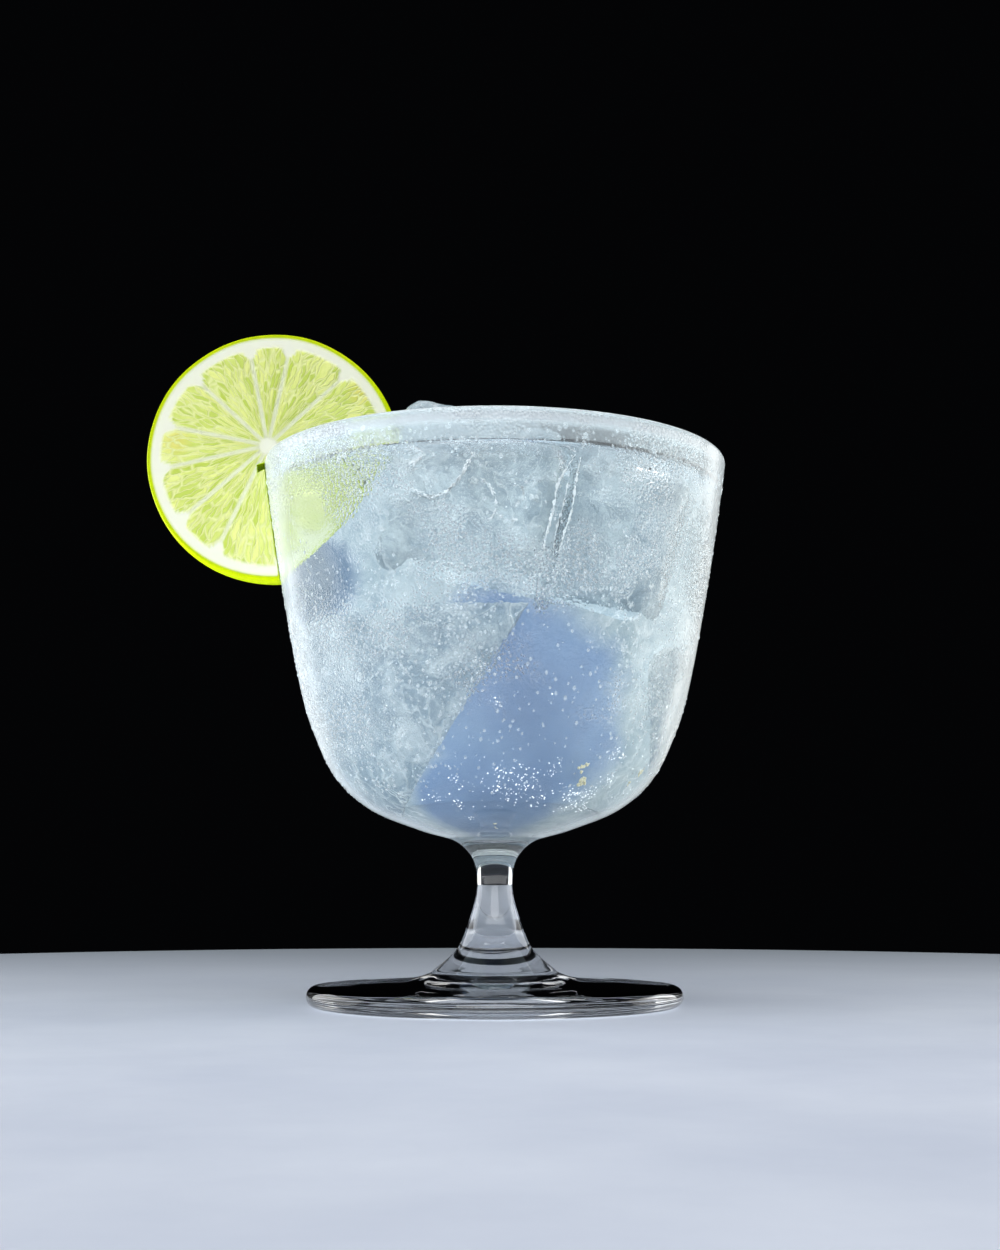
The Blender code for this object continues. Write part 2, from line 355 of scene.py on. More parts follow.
# Each block: its name, middle, sides, turns about X, Y and Z in degrees, seed, and either the
# node that it stands for or how far a sunk one leans.
standing_blocks = (
    ("ice_block_front", (-0.0057, -0.0192, 0.0906), (0.0290, 0.0280, 0.0330), (-4, 11, 6), 0,
     "ice_front"),
    ("ice_block_right", (0.0212, -0.0140, 0.0848), (0.0222, 0.0222, 0.0294), (-3, 11, -4), 1,
     "ice_right"),
    ("ice_block_back", (0.0010, 0.0200, 0.0880), (0.0262, 0.0262, 0.0302), (8, -9, 27), 2,
     "ice_back"),
)
sunk_blocks = (
    ("sunk_ice_left", (-0.0270, -0.0190, 0.0575), (0.0440, 0.0400, 0.0470), (0, 8, 3), 3, 0.42),
    ("sunk_ice_right", (0.0350, -0.0040, 0.0540), (0.0200, 0.0400, 0.0270), (2, -10, 8), 4, 0.1),
    ("sunk_ice_back", (0.0060, 0.0260, 0.0535), (0.0360, 0.0300, 0.0320), (-2, 4, -12), 5, -0.3),
)


def block_mesh(sides, seed, grow=0.0, cuts=5, pits=0.0, more_lean=0.0):
    """A block of ice about its own middle, with melted edges, grown by grow, and pitted."""
    shape = bmesh.new()
    bmesh.ops.create_cube(shape, size=2.0)
    bmesh.ops.subdivide_edges(shape, edges=shape.edges, cuts=cuts, use_grid_fill=True)
    halves = Vector(sides) / 2
    draw = random.Random(seed)
    taper, lean = draw.uniform(0.03, 0.07), draw.uniform(-0.03, 0.03)
    for vertex in shape.verts:
        flat = Vector([math.sin(c * math.pi / 2) * half for c, half in zip(vertex.co, halves)])
        core = Vector([max(-half + ice_rounding, min(half - ice_rounding, c))
                       for c, half in zip(flat, halves)])
        outward = (flat - core).normalized() if (flat - core).length > 1e-9 else Vector((0, 0, 0))
        place = core + outward * (ice_rounding + grow)
        height = place.z / halves.z
        place.x *= 1 + taper * height
        place.y *= 1 + taper * height
        place.x += (lean + more_lean) * halves.z * height
        if pits:
            seeded = place * 130 + Vector((seed * 7.3, 0, 0))
            place -= outward * pits * (0.5 + 0.5 * noise.noise(seeded)) ** 2
            place -= outward * pits * 0.4 * abs(noise.noise(seeded * 3.1))
        vertex.co = place
    return shape


def block_matrix(centre, turns):
    return Matrix.Translation(centre) @ Euler([math.radians(t) for t in turns]).to_matrix().to_4x4()


def vector(add, operation, *values):
    """The result of one operation on places or directions."""
    return add("VectorMath", dict(enumerate(values)), operation=operation).outputs[0]


def frost_pattern(add, place, size):
    """Cloud, 0 to 1, and the thin curling lines of frozen-in cracks, as node sockets."""
    bend = add("TexNoise", {"Vector": place, "Scale": 90.0 / size, "Detail": 3.0})
    offset = vector(add, "SUBTRACT", bend.outputs["Color"], (0.5, 0.5, 0.5))
    far = add("VectorMath", {0: offset, "Scale": 0.014 * size}, operation="SCALE")
    bent = vector(add, "ADD", place, far.outputs[0])
    wisps = add("TexNoise", {"Vector": bent, "Scale": 150.0 / size, "Detail": 12.0,
                             "Roughness": 0.74})
    curls = add("TexNoise", {"Vector": bent, "Scale": 210.0 / size, "Detail": 3.0,
                             "Roughness": 0.55})
    middle = calc(add, "SUBTRACT", curls.outputs["Fac"], 0.5)
    off_line = calc(add, "ABSOLUTE", middle)
    lines = spread(add, off_line, 0.0, 0.022, 1.0, 0.0)
    gaps = spread(add, bend.outputs["Fac"], 0.48, 0.62)
    lace = calc(add, "MULTIPLY", lines, gaps)
    cells = add("TexVoronoi", {"Vector": bent, "Scale": 95.0 / size}, feature="DISTANCE_TO_EDGE")
    breaks = spread(add, cells.outputs["Distance"], 0.0, 0.03, 0.8, 0.0)
    faint = calc(add, "MULTIPLY", breaks, wisps.outputs["Fac"])
    veins = calc(add, "MAXIMUM", lace, faint)
    return wisps.outputs["Fac"], veins


def finish_ice(name, cloud_low, cloud_high, dark, pale):
    """Ice: clear, with cloud and cracks that scatter more of the light, and painted light and shade
    that make it paler high up and darker low down.
    """
    made, add = new_material(name)
    place = add("TexCoord").outputs["Object"]
    wisps, veins = frost_pattern(add, place, 1.0)
    cloud = spread(add, wisps, 0.34, 0.66, cloud_low, cloud_high)
    half = calc(add, "MULTIPLY", veins, 0.5)
    solid = calc(add, "ADD", cloud, half, clamp=True)
    clear = calc(add, "SUBTRACT", 1.0, solid, clamp=True)
    height = add("SeparateXYZ", {"Vector": place}).outputs["Z"]
    # Painted light and shade: the tint grows paler with height and darker low down.
    rise = spread(add, height, 0.064, 0.100, -0.07, 0.09)
    cloud_and_painted_shade = calc(add, "ADD", wisps, rise)
    depth = spread(add, cloud_and_painted_shade, 0.38, 0.64)
    tint = blend(add, depth, dark, pale)
    white = blend(add, veins, tint, colour(236, 244, 247))
    relief = calc(add, "ADD", wisps, half)
    bump = add("Bump", {"Height": relief, "Strength": 0.5, "Distance": 0.001})
    ice = add(
        "BsdfPrincipled",
        {"Base Color": white, "Roughness": 0.05, "IOR": 1.31,
         "Transmission Weight": clear, "Normal": bump.outputs["Normal"]},
    )
    through_light(add, ice.outputs["BSDF"])
    return made


standing_ice = finish_ice("melting_ice", 0.6, 0.95, colour(134, 156, 169), colour(198, 213, 219))
sunk_ice = finish_ice("sunk_ice", 0.6, 1.0, colour(140, 163, 177), colour(217, 228, 232))


def boolean(body, other, operation):
    """Cuts a body with another, or keeps what is inside the other, which is then removed."""
    modifier = body.modifiers.new("shape", "BOOLEAN")
    modifier.operation = operation
    modifier.object = other
    modifier.solver = "EXACT"
    bpy.context.view_layer.update()
    made = bpy.data.meshes.new_from_object(
        body.evaluated_get(bpy.context.evaluated_depsgraph_get()))
    body.modifiers.clear()
    old = body.data
    body.data = made
    bpy.data.meshes.remove(old)
    bpy.data.objects.remove(other)
    body.data.shade_smooth()
    body.data.set_sharp_from_angle(angle=math.radians(38))


def bowl_filling(name, inset, top, steps, finish, drawn_in=0.0):
    """A solid that fills the bowl up to a level, a little inside the wall, and drawn in above."""
    side = [(r - inset - drawn_in * max(0.0, (z - top + 0.014) / 0.014) ** 2,
             z + (inset if r < 0.02 else inset * 0.5))
            for r, z in inside_line if r > 0.002 + inset and z < top - 0.0005]
    line = [(0.0, side[0][1] - 0.0001), *side]
    line += [(side[-1][0] * share, top) for share in (0.995, 0.7, 0.4, 0.0)]
    return turned_piece(name, line, steps, finish)


def make_block(block, finish, cuts, grow=0.0, pits=0.0):
    name, centre, sides, turns, seed, place = block
    leaning = 0.0 if isinstance(place, str) else place
    shape = block_mesh(sides, seed, grow, cuts, pits, leaning)
    mesh = bpy.data.meshes.new(name)
    shape.to_mesh(mesh)
    shape.free()
    mesh.shade_smooth()
    mesh.materials.append(finish)
    mesh.transform(block_matrix(centre, turns))
    made = bpy.data.objects.new(name, mesh)
    bpy.context.scene.collection.objects.link(made)
    return made


for block in standing_blocks:
    made = make_block(block, standing_ice, 47, 0.0, 0.0006)
    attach(made, "root")
    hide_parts(block[5])


sunk_ice_top, sunk_ice_drawn_in = 0.0795, 0.0075


def sunk_block(block, inset, cuts, grow, pits):
    """A sunk block, held back from the wall and drawn in under the blocks that stand on it."""
    made = make_block(block, sunk_ice, cuts, grow, pits)
    room = bowl_filling("ice_room", inset, sunk_ice_top, 96, sunk_ice, sunk_ice_drawn_in)
    boolean(made, room, "INTERSECT")
    return made


for block in sunk_blocks:
    made = sunk_block(block, 0.0012, 63, 0.0, 0.0007)
    for other in standing_blocks:
        boolean(made, make_block(other, standing_ice, 15, -0.0001), "DIFFERENCE")
    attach(made, "root")

# The drink: tequila, lime juice and water from the ice. It fills the bowl to just under the
# rim and wets the glass, the ice and the lime, and its fine pulp makes it hazy with depth.
drink_level, drink_creep = 0.0983, 0.0006
wall_bite = 0.0002
lime_centre, lime_radius = Vector((-0.0435, 0.0, 0.1056)), 0.0249


def drink_line(bite, top, creep):
    """The drink's outline: bite is how far it reaches into the wall, creep how far it climbs it."""
    side = [(r + bite, z - (bite if r < 0.02 else 0)) for r, z in inside_line if z < top - 0.001]
    edge = line_radius(inside_line, top + creep) + bite
    line = [(0.0, side[0][1]), *side[1:], (edge, top + creep)]
    for share in (0.35, 0.65, 1.0):
        line.append((edge - 0.0016 * share, top + creep * (1 - share) ** 2))
    line += [(edge * share, top) for share in (0.8, 0.6, 0.4, 0.2, 0.0)]
    return line


def finish_clear_drink():
    made, add = new_material("clear_drink")
    place = add("TexCoord").outputs["Object"]
    swirl = add("TexNoise", {"Vector": place, "Scale": 60.0, "Detail": 2.0})
    bump = add("Bump", {"Height": swirl.outputs["Fac"], "Strength": 0.1, "Distance": 0.002})
    liquid = add(
        "BsdfPrincipled",
        {"Base Color": (0.975, 0.985, 0.99, 1.0), "Roughness": 0.0, "IOR": 1.34,
         "Transmission Weight": 1.0, "Normal": bump.outputs["Normal"]},
    )
    through_light(add, liquid.outputs["BSDF"])
    return made


drink = turned_piece("drink_clear", drink_line(wall_bite, drink_level, drink_creep), 144,
                     finish_clear_drink())
for block in standing_blocks:
    boolean(drink, make_block(block, standing_ice, 15, -0.0002), "DIFFERENCE")
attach(drink, "root")
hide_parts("drink")


# Where the drink has stayed clear of meltwater and looks blue: middle and reach of each place.
blue_places = (
    ((0.0045, -0.0340, 0.0525), (0.0205, 0.0300, 0.0220)),
    ((-0.0010, -0.0280, 0.0395), (0.0150, 0.0260, 0.0115)),
    ((-0.0340, -0.0190, 0.0775), (0.0120, 0.0180, 0.0105)),
    ((-0.0150, 0.0340, 0.0420), (0.0200, 0.0240, 0.0150)),
)
# Painted shade: the haze is painted darker round this place under the lime wheel.
shaded_place = (-0.0350, -0.0190, 0.0780)


def finish_haze():
    made, add = new_material("hazy_drink")
    place = add("TexCoord").outputs["Object"]
    drift = add("TexNoise", {"Vector": place, "Scale": 42.0, "Detail": 5.0, "Roughness": 0.55,
                             "Distortion": 0.5})
    blue = add("ValToRGB", {"Fac": drift.outputs["Fac"]})
    ramp = blue.color_ramp
    ramp.elements[0].position = 0.3
    ramp.elements[0].color = colour(97, 131, 175)
    ramp.elements[1].position = 0.75
    ramp.elements[1].color = colour(142, 172, 205)
    ramp.elements.new(0.52).color = colour(122, 154, 194)
    nearest = None
    for middle, reach in blue_places:
        away = vector(add, "SUBTRACT", place, middle)
        share = vector(add, "DIVIDE", away, reach)
        length = add("VectorMath", {0: share}, operation="LENGTH").outputs["Value"]
        if nearest is not None:
            length = calc(add, "MINIMUM", nearest, length)
        nearest = length
    # Painted shade under the lime wheel.
    from_shade = add("VectorMath", {0: place, 1: shaded_place}, operation="DISTANCE")
    shade = spread(add, from_shade.outputs["Value"], 0.007, 0.022, 1.0, 0.0)
    blue_with_painted_shade = blend(add, shade, blue.outputs["Color"], colour(64, 96, 118))
    wander = calc(add, "SUBTRACT", drift.outputs["Fac"], 0.5)
    uneven = calc(add, "MULTIPLY_ADD", wander, 0.9, nearest)
    milk = add("MapRange", {"Value": uneven, "From Min": 0.78, "From Max": 1.12},
               interpolation_type="SMOOTHSTEP")
    wisps, veins = frost_pattern(add, place, 0.9)
    depth = spread(add, wisps, 0.36, 0.66)
    cloud = blend(add, depth, colour(146, 169, 182), colour(203, 217, 222))
    lined = blend(add, veins, cloud, colour(234, 242, 245))
    tint = blend(add, milk.outputs["Result"], blue_with_painted_shade, lined)
    haze = add("BsdfPrincipled", {"Base Color": tint, "Roughness": 0.8})
    add("OutputMaterial", {"Surface": haze.outputs["BSDF"]})
    return made


haze_inset, haze_depth = 0.0022, 0.0015
haze = bowl_filling("drink_haze", haze_inset, drink_level - haze_depth, 128, finish_haze())
for block in standing_blocks:
    boolean(haze, make_block(block, standing_ice, 15, -0.0001), "DIFFERENCE")
for block in sunk_blocks:
    boolean(haze, sunk_block(block, 0.0017, 15, -0.0007, 0.0), "DIFFERENCE")
# The haze thins out in front of the ice, so that each block shows through clear drink: the
# block's face that looks out, how much wider the clear place is, and how deep.
room_overlap, room_lift = 0.0021, 0.45
for block, outward, wider, deep in ((standing_blocks[0], -1, 0.018, 0.028),
                                    (standing_blocks[1], -1, 0.016, 0.030),
                                    (standing_blocks[2], 1, 0.012, 0.028)):
    name, centre, sides, turns, seed, node = block
    turned = block_matrix((0, 0, 0), turns).to_3x3()
    out_by = outward * ((sides[1] + deep) / 2 - room_overlap)
    room = ("clear_room", Vector(centre) + turned @ Vector((0, out_by, wider * room_lift)),
            (sides[0] + wider, deep, sides[2] + wider), turns, seed, node)
    boolean(haze, make_block(room, standing_ice, 15), "DIFFERENCE")


def cut_haze(name, shape, place):
    """Cuts the haze with a shape, moved to its place."""
    shape.transform(place)
    mesh = bpy.data.meshes.new(name)
    shape.to_mesh(mesh)
    shape.free()
    cutter = bpy.data.objects.new(name, mesh)
    bpy.context.scene.collection.objects.link(cutter)
    boolean(haze, cutter, "DIFFERENCE")


# Between the two front blocks the haze leaves a narrow dark cleft, and it thins out round the
# half of the lime wheel that stands in the drink.
cleft_middle, cleft_sides = Vector((0.0106, -0.0300, 0.0850)), (0.0021, 0.0160, 0.0300, 1.0)
cleft_at = Matrix.Translation(cleft_middle) @ Matrix.Rotation(math.radians(11), 4, "Y")
cleft = bmesh.new()
bmesh.ops.create_cube(cleft, size=1.0)
cut_haze("cleft", cleft, cleft_at @ Matrix.Diagonal(cleft_sides))
round_lime, lime_room_radius = bmesh.new(), lime_radius + 0.0007
bmesh.ops.create_cone(round_lime, cap_ends=True, segments=96, radius1=lime_room_radius,
                      radius2=lime_room_radius, depth=0.1)
cut_haze("lime_room", round_lime,
         Matrix.Translation(lime_centre) @ Matrix.Rotation(math.pi / 2, 4, "X"))
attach(haze, "root")

# The frost in the ice: white cracks that run over and just under the faces of the blocks, from
# the shock of the warm drink.
def tube(points, faces, path, radius, sides=5):
    """Adds a thin closed tube along a path, drawn to a point at both ends."""
    start = len(points)
    last = len(path) - 1
    for k, place in enumerate(path):
        ahead = (path[min(k + 1, last)] - path[max(k - 1, 0)]).normalized()
        side = ahead.orthogonal().normalized()
        other = ahead.cross(side)
        thick = radius * (0.25 + 0.75 * math.sin(math.pi * min(1, max(0, k / last))) ** 0.5)
        for i in range(sides):
            turn = 2 * math.pi * i / sides
            points.append(place + (side * math.cos(turn) + other * math.sin(turn)) * thick)
    for k in range(last):
        for i in range(sides):
            a, b = start + k * sides + i, start + k * sides + (i + 1) % sides
            faces.append((a, b, b + sides, a + sides))
    faces.append(tuple(range(start + sides - 1, start - 1, -1)))
    faces.append(tuple(range(start + last * sides, start + (last + 1) * sides)))


def finish_white_frost():
    made, add = new_material("white_frost")
    place = add("TexCoord").outputs["Object"]
    grain = add("TexNoise", {"Vector": place, "Scale": 700.0, "Detail": 2.0})
    tint = add("ValToRGB", {"Fac": grain.outputs["Fac"]})
    tint.color_ramp.elements[0].color = colour(224, 234, 240)
    tint.color_ramp.elements[1].color = colour(250, 253, 255)
    frost = add("BsdfPrincipled", {"Base Color": tint.outputs["Color"], "Roughness": 0.4})
    add("OutputMaterial", {"Surface": frost.outputs["BSDF"]})
    return made


def crack_path(draw, start, heading, length, face_out, wander):
    """A wandering line in the plane of a face."""
    path, place, step = [Vector(start)], Vector(start), 0.0011
    for _ in range(max(3, int(length / step))):
        heading = (Matrix.Rotation(draw.gauss(0, wander), 3, face_out) @ heading).normalized()
        place = place + heading * step
        path.append(place.copy())
    return path


# The long cracks in the front face of the front block, across and up from its middle, and how
# thick each is: a hooked one, a short fork, and some thin ones.
front_cracks = (
    (((-0.0002, 0.0095), (-0.0010, 0.0062), (-0.0021, 0.0025), (-0.0042, -0.0012),
      (-0.0068, -0.0024), (-0.0100, -0.0020), (-0.0124, -0.0012)), 0.00024),
    (((-0.0088, 0.0050), (-0.0100, 0.0034), (-0.0108, 0.0012)), 0.00019),
    (((-0.0094, 0.0042), (-0.0110, 0.0028), (-0.0122, 0.0006)), 0.00017),
    (((-0.0132, -0.0036), (-0.0100, -0.0040), (-0.0066, -0.0050), (-0.0040, -0.0038)), 0.00014),
    (((0.0010, 0.0030), (0.0034, 0.0012), (0.0048, -0.0018), (0.0040, -0.0048)), 0.00013),
    (((-0.0060, -0.0080), (-0.0030, -0.0072), (0.0004, -0.0086), (0.0036, -0.0080)), 0.00013),
)
crack_points, crack_faces = [], []
for block in standing_blocks:
    name, centre, sides, turns, seed, node = block
    draw = random.Random(40 + seed)
    place_of = block_matrix(centre, turns)
    halves = Vector(sides) / 2
    for face_out in ((0, -1, 0), (0, 1, 0), (1, 0, 0), (-1, 0, 0)):
        outward = Vector(face_out)
        reach = abs(outward.dot(halves))
        along = outward.orthogonal().normalized()
        for _ in range(7):
            spin = Matrix.Rotation(draw.uniform(0, 2 * math.pi), 3, outward)
            start = outward * (reach - draw.uniform(-0.0001, 0.0003))
            start += spin @ along * draw.uniform(0, reach * 0.55)
            path = crack_path(draw, start, spin @ along, draw.uniform(0.003, 0.008), outward, 0.35)
            inside = [p for p in path if all(abs(c) <= half + 0.0002 for c, half in zip(p, halves))]
            if len(inside) > 3:
                tube(crack_points, crack_faces, [place_of @ p for p in inside],
                     draw.uniform(0.00007, 0.00013))
    if node == "ice_front":
        for line, thick in front_cracks:
            bends = smooth_through([(x, -halves.y - 0.0001, z) for x, z in line], 5)
            tube(crack_points, crack_faces, [place_of @ Vector(p) for p in bends], thick)
# The melted lips of the cleft between the two front blocks: across, forward and up from its
# middle.
for line, thick in (
    (((0.0006, 0.0135), (-0.0014, 0.0080), (-0.0013, 0.0030), (-0.0016, -0.0030),
      (-0.0013, -0.0090), (-0.0017, -0.0135)), 0.00022),
    (((0.0016, 0.0130), (0.0015, 0.0090), (0.0018, 0.0030), (0.0013, -0.0020),
      (0.0016, -0.0080), (0.0004, -0.0130)), 0.00018),
    (((0.0001, 0.0110), (0.0003, 0.0050), (-0.0001, -0.0010), (0.0004, -0.0060)), 0.0001),
):
    bends = smooth_through([(x, -0.0040 + 0.0004 * math.sin(z * 900), z) for x, z in line], 5)
    tube(crack_points, crack_faces, [cleft_at @ Vector(p) for p in bends], thick)
cracks = mesh_piece("frost_cracks", crack_points, crack_faces, finish_white_frost())
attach(cracks, "root")

# The bubbles and pulp: air beads that cling together low in the drink, and torn bits of lime
# flesh that float there, cream against the haze.
def finish_bubbles():
    made, add = new_material("air_bubbles")
    place = add("TexCoord").outputs["Object"]
    glint = add("TexNoise", {"Vector": place, "Scale": 2500.0})
    clear = spread(add, glint.outputs["Fac"], 0.0, 1.0, 0.0, 0.2)
    # The bubbles glow a little, as a painted glint.
    air = add(
        "BsdfPrincipled",
        {"Base Color": (0.98, 0.99, 1.0, 1.0), "Roughness": 0.08, "IOR": 1.33,
         "Transmission Weight": clear,
         "Emission Color": (0.9, 0.95, 1.0, 1.0), "Emission Strength": 0.5},
    )
    through_light(add, air.outputs["BSDF"])
    return made


def finish_pulp():
    made, add = new_material("lime_pulp")
    place = add("TexCoord").outputs["Object"]
    grain = add("TexNoise", {"Vector": place, "Scale": 900.0})
    tint = add("ValToRGB", {"Fac": grain.outputs["Fac"]})
    tint.color_ramp.elements[0].color = colour(226, 216, 166)
    tint.color_ramp.elements[1].color = colour(244, 240, 208)
    flesh = add("BsdfPrincipled", {"Base Color": tint.outputs["Color"], "Roughness": 0.4})
    add("OutputMaterial", {"Surface": flesh.outputs["BSDF"]})
    return made


def rounded_bit(points, faces, centre, radius, ragged=0.0, draw=None):
    """Adds a small ball, or with ragged a torn bit."""
    ball = bmesh.new()
    bmesh.ops.create_icosphere(ball, subdivisions=1, radius=1.0)
    start = len(points)
    squash = Vector([1 + ragged * draw.uniform(-0.6, 0.9) for _ in range(3)]) if ragged else None
    for vertex in ball.verts:
        shape = vertex.co.copy()
        if ragged:
            shape = shape * (1 + ragged * draw.uniform(-0.4, 0.4)) * squash
        points.append(Vector(centre) + shape * radius)
    faces += [tuple(start + v.index for v in face.verts) for face in ball.faces]
    ball.free()


def low_place(turn, height, inset):
    """A place a little inside the wall, at a turn in degrees about the axis."""
    radius = line_radius(inside_line[1:], height) - inset
    angle = math.radians(turn)
    return Vector((radius * math.cos(angle), radius * math.sin(angle), height))


draw = random.Random(11)
bubble_inset, single_bubbles = 0.0009, 170
bubble_points, bubble_faces = [], []
# Each cluster: turn about the axis and height of its middle, how far it spreads round and up,
# and how many.
bubble_clusters = [(-106, 0.0421, 1.6, 0.0005, 14), (-87, 0.0431, 2.2, 0.0007, 20),
                   (-89, 0.0406, 1.6, 0.0004, 12), (-82, 0.0401, 2.6, 0.0009, 30),
                   (-77, 0.0421, 3.0, 0.0006, 24), (-71, 0.0391, 2.4, 0.0006, 18),
                   (-67, 0.0442, 1.4, 0.0007, 16), (-51, 0.0403, 4.0, 0.0009, 60),
                   (-44, 0.0404, 3.0, 0.0007, 40), (-41, 0.0386, 3.0, 0.0005, 26),
                   (-41, 0.0426, 2.6, 0.0006, 28), (-42, 0.0468, 2.2, 0.0006, 30),
                   (-125, 0.0396, 0.8, 0.0002, 4), (-117, 0.0397, 2.0, 0.0004, 12),
                   (-109, 0.0385, 1.6, 0.0004, 14), (-106, 0.0362, 1.6, 0.0003, 8),
                   (-90, 0.0545, 1.2, 0.0006, 14), (-50, 0.0383, 3.0, 0.0003, 20),
                   (-85, 0.0420, 14.0, 0.0022, 90)]
bubble_clusters += [(draw.uniform(-30, 250), draw.uniform(0.040, 0.050), draw.uniform(4, 9),
                     0.0014, draw.randint(14, 34)) for _ in range(9)]
for turn, height, across, rise, number in bubble_clusters:
    for _ in range(number):
        size = 0.00007 + 0.00010 * draw.random() ** 2
        high = min(0.060, max(0.0360, draw.gauss(height, rise)))
        place = low_place(draw.gauss(turn, across), high, bubble_inset)
        rounded_bit(bubble_points, bubble_faces, place, size)
for _ in range(single_bubbles):
    size = 0.00006 + 0.00007 * draw.random() ** 2
    place = low_place(draw.uniform(0, 360), draw.uniform(0.045, 0.088), 0.0008)
    rounded_bit(bubble_points, bubble_faces, place, size)
bubbles = mesh_piece("fine_bubbles", bubble_points, bubble_faces, finish_bubbles())
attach(bubbles, "root")

pulp_points, pulp_faces = [], []
# Each clump of pulp: turn and height of its middle, and how many bits.
for turn, height, number in ((-53, 0.0422, 16), (-55, 0.0446, 7), (-21, 0.0447, 5),
                             (-24, 0.0425, 3), (-88, 0.0352, 3), (62, 0.0480, 5), (140, 0.0440, 4)):
    for _ in range(number):
        place = low_place(turn + draw.gauss(0, 0.9), height + draw.gauss(0, 0.0004), 0.0010)
        rounded_bit(pulp_points, pulp_faces, place, draw.uniform(0.0002, 0.0004), 0.6, draw)
pulp_bits = mesh_piece("pulp_bits", pulp_points, pulp_faces, finish_pulp())
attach(pulp_bits, "root")

# The dew: the cold glass gathers water from the air. Fine beads stand close together over the
# drink, thickest towards the sides, and larger drops sit in a band under the rim.
def finish_dew():
    made, add = new_material("dew_water")
    place = add("TexCoord").outputs["Object"]
    swell = add("TexNoise", {"Vector": place, "Scale": 900.0})
    bump = add("Bump", {"Height": swell.outputs["Fac"], "Strength": 0.08, "Distance": 0.0003})
    water = add(
        "BsdfPrincipled",
        {"Base Color": (0.92, 0.97, 0.99, 1.0), "Roughness": 0.02, "IOR": 1.12,
         "Transmission Weight": 0.82, "Normal": bump.outputs["Normal"], "Coat Weight": 1.0,
         "Coat Roughness": 0.05},
    )
    through_light(add, water.outputs["BSDF"])
    return made


def dew_drop(points, faces, turn, height, radius, dome, stretch, sides, rings, draw):
    """Adds one drop on the outside of the bowl, a low closed dome set just into the glass."""
    sunk_in = 0.00004
    angle = math.radians(turn)
    wall = line_radius(outside_line, height)
    slope = (line_radius(outside_line, height + 0.001) - wall) / 0.001
    outward = Vector((math.cos(angle), math.sin(angle), -slope)).normalized()
    across = Vector((-math.sin(angle), math.cos(angle), 0))
    down = outward.cross(across)
    foot = Vector((wall * math.cos(angle), wall * math.sin(angle), height)) - outward * sunk_in
    start = len(points)
    ragged = [draw.uniform(0.85, 1.12) for _ in range(sides)]
    points.append(foot + outward * radius * dome)
    for ring in range(1, rings + 1):
        tilt = math.pi / 2 * ring / rings
        for i in range(sides):
            spin = 2 * math.pi * i / sides
            reach = radius * math.sin(tilt) * ragged[i]
            points.append(foot + across * reach * math.cos(spin)
                          + down * reach * math.sin(spin) * stretch
                          + outward * radius * dome * math.cos(tilt))
    for i in range(sides):
        j = (i + 1) % sides
        faces.append((start, start + 1 + i, start + 1 + j))
        for ring in range(rings - 1):
            a, b = start + 1 + ring * sides + i, start + 1 + ring * sides + j
            faces.append((a, a + sides, b + sides, b))
    low = start + 1 + (rings - 1) * sides
    faces.append(tuple(range(low + sides - 1, low - 1, -1)))


# Where the beads stand thickest: turn and height of each patch's middle, and its spreads.
dew_patches = ((-118, 0.0755, 7, 0.003), (-146, 0.066, 9, 0.009), (-70, 0.0745, 9, 0.0022),
               (-53, 0.082, 6, 0.005), (-50, 0.063, 5, 0.003), (-99, 0.064, 7, 0.007),
               (-32, 0.072, 9, 0.014), (-112, 0.058, 9, 0.006), (-60, 0.0735, 5, 0.002),
               (-140, 0.052, 10, 0.006), (-40, 0.056, 9, 0.006))


def dew_chance(turn, height):
    patch = sum(math.exp(-(((turn - t + 180) % 360 - 180) / a) ** 2 - ((height - h) / b) ** 2)
                for t, h, a, b in dew_patches)
    angle = math.radians(turn)
    drift = noise.noise(Vector((math.cos(angle) * 2.6, math.sin(angle) * 2.6, height * 62)))
    bare = 0.9 * math.exp(-(((turn + 130) / 20) ** 2 + ((height - 0.0885) / 0.008) ** 2))
    return max(0.0, 0.10 + 0.75 * patch + 0.55 * max(0.0, drift + 0.05) - bare)


draw = random.Random(23)
bead_count, bead_sides, bead_rings = 5000, 6, 2
bead_points, bead_faces, taken = [], [], set()
while len(bead_points) < bead_count * (1 + bead_sides * bead_rings):
    turn, height = draw.uniform(-180, 180), draw.uniform(0.0385, 0.0985)
    radius = 0.00013 + 0.00022 * draw.random() ** 1.5
    cell = (round(turn / 0.75), round(height / 0.00052))
    if cell in taken or draw.random() > dew_chance(turn, height):
        continue
    taken.add(cell)
    dew_drop(bead_points, bead_faces, turn, height, radius, 0.55, draw.uniform(1.0, 1.5),
             bead_sides, bead_rings, draw)
dew_beads = mesh_piece("dew_beads", bead_points, bead_faces, finish_dew())
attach(dew_beads, "root")

drop_count, drop_sides, drop_rings = 420, 14, 4
drop_points, drop_faces, drops = [], [], []
while len(drops) < drop_count:
    low = draw.random() < 0.35
    height = draw.uniform(0.060, 0.096) if low else min(0.1018, draw.gauss(0.0992, 0.0012))
    turn = draw.uniform(-180, 180)
    if not low and draw.random() < 0.45:
        turn = draw.gauss(-128, 13)
    if low and draw.random() > dew_chance(turn, height):
        continue
    radius = draw.uniform(0.00026, 0.00042) if low else 0.00018 + 0.00042 * draw.random() ** 2.5
    near = [d for d in drops if abs(d[1] - height) < 0.0012 and abs(d[0] - turn) < 2]
    if any(math.hypot((d[0] - turn) * 0.00075, d[1] - height) < d[2] + radius for d in near):
        continue
    drops.append((turn, height, radius))
    dew_drop(drop_points, drop_faces, turn, height, radius, 0.5, draw.uniform(1.0, 1.35),
             drop_sides, drop_rings, draw)
dew_drops = mesh_piece("dew_drops", drop_points, drop_faces, bpy.data.materials["dew_water"])
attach(dew_drops, "root")

